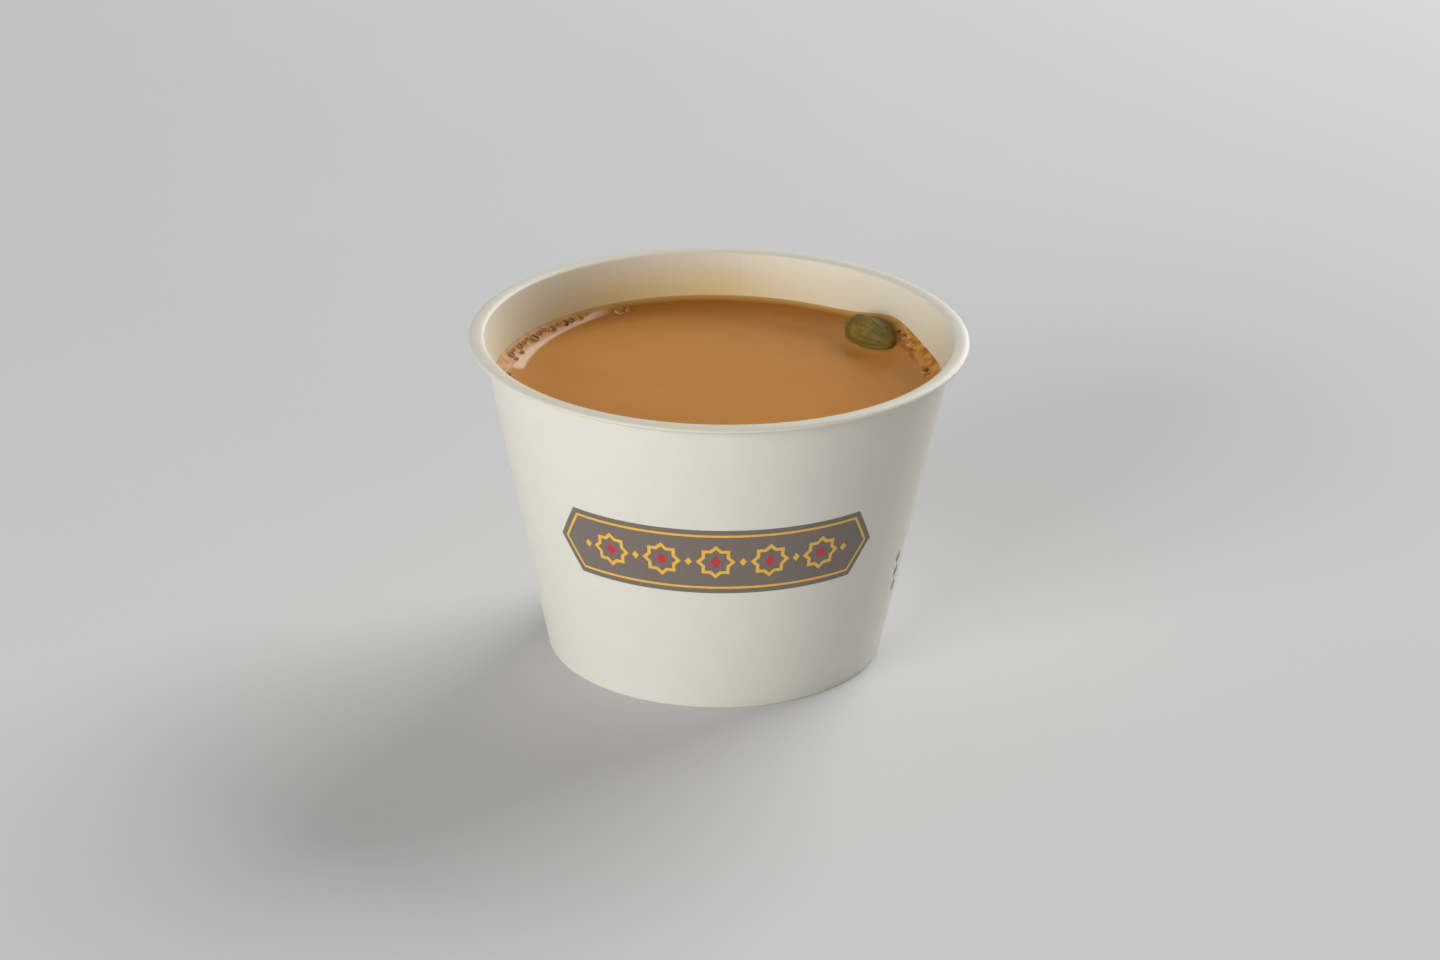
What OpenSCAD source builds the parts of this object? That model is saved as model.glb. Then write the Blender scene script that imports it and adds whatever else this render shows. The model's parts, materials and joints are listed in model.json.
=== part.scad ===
// Paper tea cup with a rolled rim, a lapped side seam and a raised base. It holds milk tea,
// on which a cardamom pod and a few bubbles float. Millimetres, +Z up, with the origin on
// the table under the middle of the cup and the front of the cup towards -Y.

/* [Cup] */
// Diameter over the rolled rim
rim_d = 90; // [84:0.5:98]
// Height from the table to the top of the rim
cup_h = 60; // [52:0.5:72]
// Diameter of the foot
foot_d = 61.4; // [54:0.2:68]
// Thickness of the wall board with its waterproof coating
wall_t = 0.35; // [0.25:0.05:0.45]

/* [Rolled rim] */
// Width of the roll's section, which the press leaves oval
roll_w = 2.8; // [2.4:0.1:3.4]
// Height of the roll's section
roll_h = 1.3; // [1.2:0.1:2]
// Angle through which the board's edge is rolled
roll_turn = 330; // [300:15:345]
// Gap between the rolled edge and the wall
roll_gap = 0.06; // [0.04:0.01:0.1]

/* [Side seam] */
// Width of the sealed lap at half height
lap_w = 7; // [5:0.5:10]
// Width over which the outer end of the board climbs onto the inner end
ramp_w = 3; // [2:0.5:4]
// Width of the groove beside the inner end of the board
groove_w = 0.6; // [0.4:0.1:1]
// Direction of the seam about the cup, from +X
seam_angle = 90; // [0:5:355]
// Distance that the seam's groove and lap keep from the base and from the roll
seam_margin = 1; // [0.6:0.1:2]

/* [Raised base] */
// Height of the base's upper face over the table
base_rise = 6.5; // [5:0.5:9]
// Thickness of the base board
base_t = 0.3; // [0.2:0.05:0.4]
// Inner radius of the bend between the base and its skirt
bend_r = 0.6; // [0.4:0.1:1]
// Distance by which the hem stops short of that bend
hem_short = 0.8; // [0.4:0.1:1.5]
// Radius of the corners of the fold that the cup stands on
fold_r = 0.2; // [0.1:0.05:0.3]
// Thickness of the sealed joint between two boards
glue_gap = 0.05; // [0.04:0.01:0.08]

/* [Tea] */
// Depth from the top of the rim to the flat surface of the tea
headroom = 10.5; // [7:0.5:20]
// Height that the tea climbs where it meets the wall
climb_h = 2.2; // [1:0.1:2.6]
// Distance from the wall in which most of that climb dies away
climb_w = 2.4; // [1.5:0.1:3]
// Clearance between the tea and the boards
tea_gap = 0.3; // [0.2:0.05:0.5]

/* [Bubbles] */
// Diameter of a common bubble
bubble_d = 1.5; // [1:0.1:2]
// Height of a common bubble's centre over the tea
bubble_lift = 0.3; // [0.2:0.02:0.5]
// Clearance between the bubbles and the tea under them
bubble_seat = 0.2; // [0.16:0.02:0.3]
// Clearance between the bubbles and the wall
bubble_gap = 0.35; // [0.2:0.05:0.6]

/* [Cardamom pod] */
// Length of the husk
pod_l = 12.6; // [10:0.2:15]
// Diameter of the husk, midway between a lobe and a groove
pod_d = 7.2; // [6.2:0.1:8]
// Thickness of the husk
husk_t = 0.5; // [0.35:0.05:0.6]
// Height of a lobe over the mean radius, and depth of a groove under it
lobe_h = 0.24; // [0.1:0.02:0.3]
// Height of the fine ribs along the husk
rib_h = 0.07; // [0.04:0.01:0.1]
// Number of fine ribs
rib_count = 18; // [12:3:24]
// Length of the stalk
stalk_l = 1.1; // [0.6:0.1:2]
// Diameter of the stalk
stalk_d = 1.2; // [0.8:0.1:1.6]
// Direction of the pod about the cup, from +X
pod_angle = 38; // [30:1:60]
// Height of the pod's axis over the tea
pod_float = 1.8; // [0.8:0.1:2.4]
// Gap between the pod and the wall
pod_wall_gap = 1; // [0.6:0.1:3]
// Clearance between the pod and the tea
pod_gap = 0.3; // [0.2:0.05:0.5]

/* [Seeds] */
// Diameter of a seed
seed_d = 1.8; // [1.4:0.1:2]
// Distance across the flats that a seed gets from its neighbours
seed_flat = 1.5; // [1.3:0.1:1.7]
// Distance between the seeds of a row
seed_pitch = 2; // [2:0.1:2.6]
// Diameter of the core that the seeds grow on
core_d = 0.6; // [0.4:0.1:0.8]
// Thickness of the partitions between the rows of seeds
septum_t = 0.16; // [0.1:0.02:0.24]
// Clearance of the seeds and the partitions from what they lie against
seed_gap = 0.1; // [0.05:0.05:0.15]

/* [Hidden] */
$fn = 96;

// Wall line: the wall's outer face starts at the foot and touches the oval hollow of the roll. With
// heights stretched until that oval is a circle, it is a tangent from a point to a circle
foot_r = foot_d / 2;
roll_half = [roll_w, roll_h] / 2;
roll_at = [rim_d / 2, cup_h] - roll_half;
hollow_half = roll_half - [wall_t, wall_t];
stretch = hollow_half[0] / hollow_half[1];
roll_rise = [roll_at[0] - foot_r, stretch * roll_at[1]];
stretched_lean = acos(hollow_half[0] / norm(roll_rise)) - atan2(roll_rise[1], roll_rise[0]);
lean = atan(stretch * tan(stretched_lean));

// Layers of board at the foot, each as a depth under the wall's outer face
wall_in = wall_t;
skirt_out = wall_in + glue_gap;
skirt_in = skirt_out + base_t;
hem_out = skirt_in + glue_gap;
hem_in = hem_out + wall_t;
bend_out_r = bend_r + base_t;
hem_top = base_rise - bend_out_r - hem_short;
skirt_end = wall_t + glue_gap;
arc_steps = 6;

// Roll: the turn shrinks by one board over its second half, so that the edge tucks in beside the wall
roll_step = 15;
tuck = wall_t + roll_gap;

// Seam: its widths as angles, the depths in the wall at which the lap is rooted and the groove
// stops, and the step by which the ramp starts under the wall's face and ends under the lap's
seam_r = face_r(0, cup_h / 2);
deg_per_mm = 180 / PI / seam_r;
lap_angle = lap_w * deg_per_mm;
groove_angle = groove_w * deg_per_mm;
lap_start = seam_angle - lap_angle / 2;
ramp_start = lap_start - ramp_w * deg_per_mm;
lap_root = 0.3 * wall_t;
groove_root = 0.65 * wall_t;
ramp_step = wall_t / 8;
lap_low = wall_t;
groove_low = base_rise + seam_margin;
seam_high = cup_h - roll_h - seam_margin;

// Tea
tea_level = cup_h - headroom;
tea_floor = base_rise + tea_gap;
climb_reach = 5 * climb_w;
climb_steps = 12;
edge_z = tea_level + climb_h;
edge_r = tea_r(edge_z);

// Bubbles, chosen by hand: direction from +X, size, and distance in from the ring beside the
// wall. The last two are in diameters of a common bubble. The gap to the wall holds halfway up
// the climb
bubbles = [
  [179, 0.6, 1.6], [177, 0.75, 0.9], [165.2, 0.55, 0.95], [164.5, 0.85, 0], [161.6, 0.5, 0],
  [160.2, 0.6, 0.85], [158, 0.8, 0], [155.3, 0.6, 0.05], [153.2, 0.45, 0], [150.6, 1.05, 0.1],
  [147.4, 0.65, 0], [145, 0.55, 0], [142.4, 0.9, 0.15], [139.6, 0.5, 0], [137, 0.9, 0],
  [134.3, 0.75, 0], [131.4, 0.8, 0], [128.8, 0.45, 0], [119, 1, 0.25], [116.4, 0.6, 0.45],
  [33, 0.4, 0], [30.5, 0.7, 0.05], [27.5, 0.85, 0], [24.6, 0.55, 0], [10.5, 0.85, 0.8], [7.4, 0.6, 1]
];
bubble_ring_r = face_r(wall_in + bubble_gap, tea_level + climb_h / 2);

// Pod
pod_z = tea_level + pod_float;
lobe_count = 3;
pod_max_r = pod_d / 2 + lobe_h + rib_h;
pod_ring_r = face_r(wall_in, pod_z) - pod_wall_gap - pod_max_r;
pod_rings = 16;
pocket_h = 2 * climb_h;
cavity_rings = 10;
cavity_sides = 24;
cavity_l = pod_l - 3 * husk_t;
core_l = cavity_l - 4 * seed_gap;
septum_steps = 12;
seed_ring_r = core_d / 2 + seed_gap + seed_d / 2;
seeds_in_row = floor(pod_l / 2 / seed_pitch) + 1;

// Radius, at a height, of the surface that lies a depth under the wall's outer face
function face_r(depth, z) = foot_r + z * tan(lean) - depth / cos(lean);

// Point on a circle in the section plane
function arc_point(centre, r, a) = centre + r * [cos(a), sin(a)];

// Points along an arc in the section plane
function arc(centre, r, from, to, steps) = [
  for (i = [0 : steps]) arc_point(centre, r, from + (to - from) * i / steps)
];

// Half width and half height of the roll, a depth under its face, after it has turned through an angle
function roll_size(depth, turned) =
  let (shrink = tuck * max(0, min(1, (turned - 180) / 180)))
  roll_half - [depth + shrink, depth + shrink];

// One face of the roll, a depth under its outer face, from the place where it leaves the wall
function roll_line(depth) =
  let (
    first = roll_size(depth, 0),
    start = atan2(first[1] * sin(lean), -first[0] * cos(lean))
  )
  [
    for (turned = [0 : roll_step : roll_turn])
      let (half = roll_size(depth, turned), a = start - turned)
      roll_at + [half[0] * cos(a), half[1] * sin(a)]
  ];

// The points of a list in the other order
function reversed(list) = [for (i = [len(list) - 1 : -1 : 0]) list[i]];

// Radius of the tea's side at a height
function tea_r(z) = face_r(wall_t + tea_gap, z);

// Height of the tea's surface at a radius: flat, with a climb that dies away from the wall
function tea_z(r) = tea_level + climb_h * climb_share(min(climb_reach, edge_r - r));
function climb_share(d) = (exp(-d / climb_w) - climb_rest) / (1 - climb_rest);
climb_rest = exp(-climb_reach / climb_w);

// Angle at which the climb rises towards the wall at a radius
function tea_slope(r) = atan(climb_h / climb_w * exp((r - edge_r) / climb_w) / (1 - climb_rest));

// Section of the climb, from the wall inwards
function tea_surface() = [
  for (i = [0 : climb_steps])
    let (r = edge_r - climb_reach * (i / climb_steps) ^ 2)
    [r, tea_z(r)]
];

// Share of the pod's full radius at a place along it, from -1 at the stalk to 1 at the tip
function pod_taper(s) = s < 0 ? (1 - (-s) ^ 2.4) ^ 0.56 : (1 - s ^ 1.9) ^ 0.72;

// Rings of points about the X axis, closed by a pole at each end
function pod_points(l, rings, sides, radius, lobe, rib) = concat(
  [[-l / 2, 0, 0]],
  [
    for (i = [1 : rings - 1], j = [0 : sides - 1])
      let (
        s = -cos(180 * i / rings),
        a = 360 * j / sides,
        ridge = rib * (j % 2 == 0 ? 1 : -1),
        r = pod_taper(s) * (radius + lobe * cos(lobe_count * a) + ridge)
      )
      [s * l / 2, r * cos(a), r * sin(a)]
  ],
  [[l / 2, 0, 0]]
);

// Triangles over those rings
function pod_faces(rings, sides) =
  let (last = (rings - 1) * sides + 1)
  concat(
    [for (j = [0 : sides - 1]) [0, 1 + j, 1 + (j + 1) % sides]],
    [
      for (i = [0 : rings - 3], j = [0 : sides - 1])
        let (a = 1 + i * sides + j, b = 1 + i * sides + (j + 1) % sides)
        each [[a, a + sides, b + sides], [a, b + sides, b]]
    ],
    [for (j = [0 : sides - 1]) [last, last - sides + (j + 1) % sides, last - sides + j]]
  );

// Outline of the wall board in section: roll, inner face, fold round the skirt, hem, outer face
module wall_section() {
  fold_out = [face_r(fold_r, fold_r), fold_r];
  fold_in = [face_r(hem_in - fold_r, fold_r), fold_r];
  polygon(concat(
    roll_line(wall_t),
    reversed(roll_line(0)),
    [
      [face_r(wall_in, wall_t), wall_t],
      [face_r(hem_out, wall_t), wall_t],
      [face_r(hem_out, hem_top), hem_top],
      [face_r(hem_in, hem_top), hem_top]
    ],
    arc(fold_in, fold_r, 180 - lean, 270, arc_steps),
    arc(fold_out, fold_r, 270, 360 - lean, arc_steps)
  ));
}

// Strip of the wall between two depths and two heights, in section
module wall_strip(from_depth, to_depth, low, high) {
  polygon([
    [face_r(from_depth, low), low],
    [face_r(to_depth, low), low],
    [face_r(to_depth, high), high],
    [face_r(from_depth, high), high]
  ]);
}

// Wedge that brings the outer end of the board up onto the lap, into which it runs by a
// groove's width
module seam_ramp() {
  corners = [
    for (
      end = [[ramp_start, ramp_step], [lap_start + groove_angle, ramp_step - wall_t]],
      z = [lap_low + ramp_step, seam_high - ramp_step],
      d = [lap_root, end[1]]
    )
      let (r = face_r(d, z))
      [r * cos(end[0]), r * sin(end[0]), z]
  ];
  polyhedron(corners, [
    [0, 2, 3], [0, 3, 1],
    [4, 5, 7], [4, 7, 6],
    [0, 1, 5], [0, 5, 4],
    [2, 6, 7], [2, 7, 3],
    [1, 3, 7], [1, 7, 5],
    [0, 4, 6], [0, 6, 2]
  ]);
}

// Sector of the wall about the cup's axis
module wall_sector(from, sweep, from_depth, to_depth, low, high) {
  rotate([0, 0, from])
    rotate_extrude(angle = sweep)
      wall_strip(from_depth, to_depth, low, high);
}

// The board's inner end shows inside the cup as a fine groove, and its outer end as a step
module cup_wall() {
  color([0.93, 0.92, 0.87]) {
    difference() {
      rotate_extrude() wall_section();
      wall_sector(
        lap_start - groove_angle, groove_angle, wall_in + wall_t, groove_root, groove_low, seam_high
      );
    }
    seam_ramp();
    wall_sector(lap_start, lap_angle, lap_root, -wall_t, lap_low, seam_high);
  }
}

module cup_base() {
  bend_at = [face_r(skirt_out + bend_out_r, base_rise - bend_out_r), base_rise - bend_out_r];
  color([0.92, 0.91, 0.86])
    rotate_extrude()
      polygon(concat(
        [[0, base_rise - base_t], [0, base_rise]],
        arc(bend_at, bend_out_r, 90, -lean, arc_steps),
        [[face_r(skirt_out, skirt_end), skirt_end], [face_r(skirt_in, skirt_end), skirt_end]],
        arc(bend_at, bend_r, -lean, 90, arc_steps)
      ));
}

// Tea as it would lie with nothing floating on it
module still_tea() {
  rotate_extrude()
    polygon(concat([[0, tea_level], [0, tea_floor], [tea_r(tea_floor), tea_floor]], tea_surface()));
}

// Puts a shape that lies along X at the pod's place, with its stalk to the back
module at_pod() {
  rotate([0, 0, pod_angle])
    translate([pod_ring_r, 0, pod_z])
      rotate([0, 0, -90])
        children();
}

// Hollow that the pod presses into the tea: round under the pod's axis and straight above it,
// so that the pod lifts out
module pod_pocket() {
  reach = pod_l / 2 + pod_gap;
  side = [
    for (i = [0 : pod_rings])
      let (s = -cos(180 * i / pod_rings))
      [s * reach, pod_taper(s) * (pod_max_r + pod_gap)]
  ];
  other_side = [for (i = [pod_rings - 1 : -1 : 1]) [side[i][0], -side[i][1]]];
  rotate([0, 90, 0]) rotate_extrude() polygon([for (p = side) [p[1], p[0]]]);
  linear_extrude(pocket_h) polygon(concat(side, other_side));
  translate([-pod_l / 2 - stalk_l - pod_gap, 0, 0])
    rotate([0, 90, 0]) cylinder(h = stalk_l + pod_gap + husk_t, d = stalk_d + 2 * pod_gap);
}

module tea() {
  color([0.66, 0.45, 0.24])
    difference() {
      still_tea();
      at_pod() pod_pocket();
    }
}

// Bubble: a dome whose flat foot lies along the tea, which is at height 0 here
module bubble(d, lift) {
  difference() {
    translate([0, 0, lift]) sphere(d = d);
    translate([0, 0, bubble_seat - d]) cube(2 * d, center = true);
  }
}

module froth_bubbles() {
  color([0.8, 0.68, 0.5, 0.6])
    for (b = bubbles) {
      d = b[1] * bubble_d;
      r = bubble_ring_r - d / 2 - b[2] * bubble_d;
      rotate([0, 0, b[0]])
        translate([r, 0, tea_z(r)])
          rotate([0, -tea_slope(r), 0])
            bubble(d, b[1] * bubble_lift);
    }
}

module husk_cavity() {
  polyhedron(
    pod_points(cavity_l, cavity_rings, cavity_sides, pod_d / 2 - husk_t, lobe_h, 0),
    pod_faces(cavity_rings, cavity_sides)
  );
}

module pod_husk() {
  sides = 2 * rib_count;
  color([0.35, 0.36, 0.14])
    at_pod() {
      difference() {
        polyhedron(
          pod_points(pod_l, pod_rings, sides, pod_d / 2, lobe_h, rib_h),
          pod_faces(pod_rings, sides)
        );
        husk_cavity();
      }
      translate([-pod_l / 2 - stalk_l, 0, 0])
        rotate([0, 90, 0]) cylinder(h = stalk_l + husk_t, d = stalk_d);
    }
}

module pod_core() {
  groove_r = pod_d / 2 - husk_t - lobe_h - seed_gap;
  color([0.8, 0.74, 0.55])
    at_pod() {
      translate([-core_l / 2, 0, 0]) rotate([0, 90, 0]) cylinder(h = core_l, d = core_d);
      for (k = [0 : lobe_count - 1])
        rotate([360 * (k + 0.5) / lobe_count, 0, 0])
          translate([0, 0, -septum_t / 2])
            linear_extrude(septum_t)
              polygon([
                for (i = [0 : septum_steps])
                  let (s = -cos(180 * i / septum_steps))
                  [s * core_l / 2, pod_taper(s) * groove_r]
              ]);
    }
}

// Seed pressed flat on its sides
module seed() {
  intersection() {
    sphere(d = seed_d);
    cube(seed_flat, center = true);
  }
}

module pod_seeds() {
  color([0.16, 0.11, 0.07])
    at_pod()
      for (k = [0 : lobe_count - 1], i = [0 : seeds_in_row - 1])
        rotate([360 * k / lobe_count, 0, 0])
          translate([(i - (seeds_in_row - 1) / 2) * seed_pitch, seed_ring_r, 0])
            seed();
}

cup_wall();
cup_base();
tea();
froth_bubbles();
pod_husk();
pod_core();
pod_seeds();
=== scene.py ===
# %% [markdown]
# # A paper cup of milk tea with a cardamom pod
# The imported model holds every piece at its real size: a wall and a base of coated board, the
# tea, its bubbles and a pod. This lesson dresses that model. Its nodes are made of exact faces
# with hard edges between them, so what shows is built again here as smooth surfaces, each one a
# formula on a grid of two parameters, and then given a finish made of nodes.

# %% Load the frame
import json
import math

import bpy
import numpy as np
from mathutils import Matrix, Vector


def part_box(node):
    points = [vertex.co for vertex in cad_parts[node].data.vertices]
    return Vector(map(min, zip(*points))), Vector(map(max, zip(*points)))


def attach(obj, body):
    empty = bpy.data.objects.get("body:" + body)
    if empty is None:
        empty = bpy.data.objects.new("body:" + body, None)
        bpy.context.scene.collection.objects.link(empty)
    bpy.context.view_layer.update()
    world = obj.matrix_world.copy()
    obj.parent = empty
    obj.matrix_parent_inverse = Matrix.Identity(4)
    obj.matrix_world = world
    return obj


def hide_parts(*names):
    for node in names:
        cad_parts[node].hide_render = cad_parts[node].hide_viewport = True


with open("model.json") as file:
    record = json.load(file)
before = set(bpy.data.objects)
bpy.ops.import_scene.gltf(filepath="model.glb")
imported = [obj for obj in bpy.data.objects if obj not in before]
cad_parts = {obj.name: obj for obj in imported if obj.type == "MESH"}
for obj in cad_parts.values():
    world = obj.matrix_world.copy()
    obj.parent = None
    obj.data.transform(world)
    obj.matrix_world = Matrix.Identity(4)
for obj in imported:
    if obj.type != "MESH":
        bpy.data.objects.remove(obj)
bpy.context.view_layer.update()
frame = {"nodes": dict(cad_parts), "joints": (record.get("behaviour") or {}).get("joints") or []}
print("nodes:", sorted(frame["nodes"]))

# %% [markdown]
# ## Measure the cup
# A dressed piece has to lie where its solid lies, so the main sizes are read off the nodes. A box
# doesn't show the foot of a cone, and the board and the roll are too thin to read off safely, so
# these keep the sizes that the solids were drawn with. All shapes are worked out in millimetres,
# because a cup is drawn in millimetres, and only the last step turns them into Blender's metres.

# %% Sizes in millimetres
MM = 0.001


def node_box(node):
    """Lowest and highest corner of a node, in millimetres."""
    low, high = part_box(node)
    return np.array(low) / MM, np.array(high) / MM


rim_r = node_box("cup_wall")[1][0]
cup_h = node_box("cup_wall")[1][2]
base_rise = node_box("cup_base")[1][2]
tea_edge_z = node_box("tea")[1][2]
swirl = next(j for j in frame["joints"] if j["name"] == "tea_swirl")
tea_level = swirl["pos_m"][2] / MM

FOOT_R = 30.7
WALL_T = 0.35
ROLL_W = 2.8
ROLL_H = 1.3
print(f"rim {2 * rim_r:.2f} mm across, {cup_h:.2f} mm tall, tea at {tea_level:.2f} mm")

# %% [markdown]
# ## One way to make a skin
# Blender can spin, loft and screw, but those tools leave a seam to merge and normals to mend.
# Here a closed surface is an array of points with rows along the shape and columns round it.
# The columns always close. The rows either close too, as on a ring, or shrink to a pole at each
# end, as on a ball. Faces come from shifting the array of vertex numbers against itself, so no
# loop walks over vertices, and a negative volume means that the faces have to be turned round.


# %% A skin through a grid of points
def skin_faces(rows, columns, ring):
    """Faces and their UVs on a grid of rows and columns.

    Each face joins a point to its neighbours in the next row and the next column. With ring,
    the last row joins the first. Without it the first and last rows are single points.
    """
    if ring:
        index = np.arange(rows * columns).reshape(rows, columns)
        index = np.vstack([index, index[:1]])
    else:
        inner = 1 + np.arange((rows - 2) * columns).reshape(rows - 2, columns)
        last = np.full((1, columns), 1 + (rows - 2) * columns)
        index = np.vstack([np.zeros((1, columns), int), inner, last])
    index = np.hstack([index, index[:, :1]])
    u, v = np.meshgrid(np.linspace(0, 1, columns + 1), np.linspace(0, 1, len(index)))
    corners = [(slice(None, -1), slice(None, -1)), (slice(1, None), slice(None, -1)),
               (slice(1, None), slice(1, None)), (slice(None, -1), slice(1, None))]
    face = np.stack([index[c] for c in corners], -1)
    uv = np.stack([np.stack([u[c], v[c]], -1) for c in corners], -2)
    if ring:
        return [(face.reshape(-1, 4), uv.reshape(-1, 4, 2))]
    first, last, keep_first, keep_last = face[0], face[-1], [0, 1, 2], [0, 1, 3]
    return [
        (first[:, keep_first], uv[0][:, keep_first]),
        (face[1:-1].reshape(-1, 4), uv[1:-1].reshape(-1, 4, 2)),
        (last[:, keep_last], uv[-1][:, keep_last]),
    ]


def skin_parts(grid, ring):
    """Points, faces and UVs of one closed skin, with its faces turned outwards.

    The volume is a sixth of the sum of each triangle's triple product about the first point.
    """
    rows, columns = grid.shape[:2]
    if ring:
        points = grid.reshape(-1, 3)
    else:
        points = np.vstack([grid[0, :1], grid[1:-1].reshape(-1, 3), grid[-1, :1]])
    groups = skin_faces(rows, columns, ring)
    away = points - points[0]
    volume = sum(
        np.einsum("ij,ij->", away[f[:, 0]], np.cross(away[f[:, k]], away[f[:, k + 1]]))
        for f, _ in groups for k in range(1, f.shape[1] - 1)
    )
    if volume < 0:
        groups = [(f[:, ::-1], uv[:, ::-1]) for f, uv in groups]
    return points, groups


SHARP = math.radians(38)


def make_skin(name, grids, ring=False):
    """A mesh object of one or more closed skins. Edges bent by more than SHARP stay sharp."""
    points, faces, uvs, start = [], [], [], 0
    for grid in grids:
        p, groups = skin_parts(grid, ring)
        points.append(p)
        for f, uv in groups:
            faces += (f + start).tolist()
            uvs.append(uv.reshape(-1, 2))
        start += len(p)
    mesh = bpy.data.meshes.new(name)
    mesh.from_pydata(np.vstack(points) * MM, [], faces)
    mesh.uv_layers.new(name="UVMap").data.foreach_set("uv", np.vstack(uvs).ravel())
    mesh.polygons.foreach_set("use_smooth", np.ones(len(mesh.polygons), bool))
    mesh.set_sharp_from_angle(angle=SHARP)
    mesh.update()
    piece = bpy.data.objects.new(name, mesh)
    bpy.context.scene.collection.objects.link(piece)
    print(f"{name}: {len(mesh.vertices)} points, {len(mesh.polygons)} faces")
    return piece


# %% [markdown]
# ## The wall's section
# A paper cup's wall is one blank of board. In section the board runs up from the foot, curls
# outwards into the rolled rim and ends inside the roll, which the press leaves oval. The wall's
# line is a tangent to that oval: with heights stretched until the oval is a circle, it is the
# tangent from a point to a circle. At the foot the board folds inwards and up into a hem, which
# grips the skirt of the base. A modifier could give a middle line its thickness, but both faces
# are wanted apart, since one is bare board and the other is coated, so both are written out.

# %% Section of the wall
ROLL_TURN = 330
ROLL_GAP = 0.06
BASE_T = 0.3
GLUE = 0.05
BEND_R = 0.6
HEM_SHORT = 0.8
FOLD_R = 0.2
roll_half = np.array([ROLL_W, ROLL_H]) / 2
roll_at = np.array([rim_r, cup_h]) - roll_half
hollow = roll_half - WALL_T
stretch = hollow[0] / hollow[1]
rise = (roll_at - [FOOT_R, 0]) * [1, stretch]
stretched_lean = math.acos(hollow[0] / np.hypot(*rise)) - math.atan2(rise[1], rise[0])
lean = math.atan(stretch * math.tan(stretched_lean))


def face_r(depth, z):
    """Radius at a height of the surface that lies a depth under the wall's outer face."""
    return FOOT_R + z * math.tan(lean) - depth / math.cos(lean)


def arc(centre, radius, start, stop, steps):
    """Points on an arc in the section plane; the radius may change along it."""
    a = np.radians(np.linspace(start, stop, steps))
    return np.stack([centre[0] + radius * np.cos(a), centre[1] + radius * np.sin(a)], -1)


def line(start, stop, steps):
    """Evenly spaced points from start to stop."""
    return np.linspace(start, stop, steps)


def roll_line(depth, steps=89):
    """The roll a depth under its outer face: an oval that shrinks by a board in its second half."""
    turned = np.linspace(0, ROLL_TURN, steps)
    shrink = (WALL_T + ROLL_GAP) * np.clip((turned - 180) / 180, 0, 1)
    half = roll_half - (depth + shrink)[:, None]
    a = math.atan2(half[0, 1] * math.sin(lean), -half[0, 0] * math.cos(lean)) - np.radians(turned)
    return roll_at + half * np.stack([np.cos(a), np.sin(a)], -1)


hem_out = WALL_T + BASE_T + 2 * GLUE
hem_in = hem_out + WALL_T
hem_top = base_rise - BEND_R - BASE_T - HEM_SHORT
slope = math.degrees(lean)
fold = np.vstack([
    arc([face_r(hem_in - FOLD_R, FOLD_R), FOLD_R], FOLD_R, 180 - slope, 270, 7),
    arc([face_r(FOLD_R, FOLD_R), FOLD_R], FOLD_R, 270, 360 - slope, 7),
])
roll_inside, roll_outside = roll_line(WALL_T), roll_line(0)[::-1]
SIDE_STEPS = 48
section_parts = [
    ("bare", line(fold[-1], roll_inside[0], SIDE_STEPS)[1:-1]),
    ("bare", roll_inside),
    ("coated", roll_outside),
    ("coated", line(roll_outside[-1], [face_r(WALL_T, WALL_T), WALL_T], SIDE_STEPS)[1:]),
    ("coated", line([face_r(hem_out, WALL_T), WALL_T], [face_r(hem_out, hem_top), hem_top], 8)),
    ("bare", line([face_r(hem_in, hem_top), hem_top], fold[0], 8)[:-1]),
    ("bare", fold),
]
section = np.vstack([p for _, p in section_parts])
section_side = np.concatenate([np.full(len(p), side == "coated") for side, p in section_parts])
print(f"lean {slope:.2f} degrees, section of {len(section)} points")

# %% [markdown]
# ## Sweep the section, with its lapped seam
# The two ends of the blank overlap at the back of the cup and are sealed there. The outer end
# climbs a ramp onto the inner end and stops at a step that shows outside. The inner end shows
# inside as a fine groove. So the section is swept once round, and a lift that depends on the
# angle moves the two faces outwards there. It fades out at the roll and at the foot, where
# the press flattens the lap.

# %% The cup's wall
LAP_W = 7
RAMP_W = 3
GROOVE = 0.01
STEP_W = 0.06
FADE = 1.2
SWEEP_STEPS = 240
seam_at = math.pi / 2
per_mm = 1 / face_r(0, cup_h / 2)
lap_start, lap_end = seam_at - LAP_W / 2 * per_mm, seam_at + LAP_W / 2 * per_mm
ramp_start = lap_start - RAMP_W * per_mm
step = STEP_W * per_mm
theta = np.sort(np.concatenate([
    np.linspace(0, 2 * math.pi, SWEEP_STEPS, endpoint=False),
    [ramp_start, lap_start - step, lap_start, lap_end, lap_end + step],
]))


def seam_fade(z):
    """1 along the seam, falling to 0 over a short way at the foot and under the roll."""
    low = np.clip((z - WALL_T) / FADE, 0, 1)
    high = np.clip((cup_h - ROLL_H - z) / FADE, 0, 1)
    return low * high


def swept_wall():
    """The section turned about the axis, its faces lifted along the wall's normal at the seam."""
    climb = np.clip((theta - ramp_start) / (lap_start - step - ramp_start), 0, 1)
    outside = WALL_T * climb * (theta <= lap_end)
    inside = GROOVE * climb * (theta < lap_start)
    z = section[:, 1]
    lapped = (z < cup_h - ROLL_H) & (section[:, 0] > face_r(WALL_T + GLUE / 2, z))
    fade = seam_fade(z) * lapped
    lift = np.where(section_side, 0, fade)[:, None] * outside
    lift = lift + np.where(section_side, fade, 0)[:, None] * inside
    r = section[:, :1] + lift * math.cos(lean)
    z = section[:, 1:] - lift * math.sin(lean)
    return np.stack([r * np.cos(theta), r * np.sin(theta), z], -1)


cup_wall = make_skin("cup_wall_board", [swept_wall()], ring=True)
side_of_face = np.repeat(section_side, len(theta)).astype(np.int32)
cup_wall.data.polygons.foreach_set("material_index", side_of_face)
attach(cup_wall, "cup")
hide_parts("cup_wall")

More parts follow.
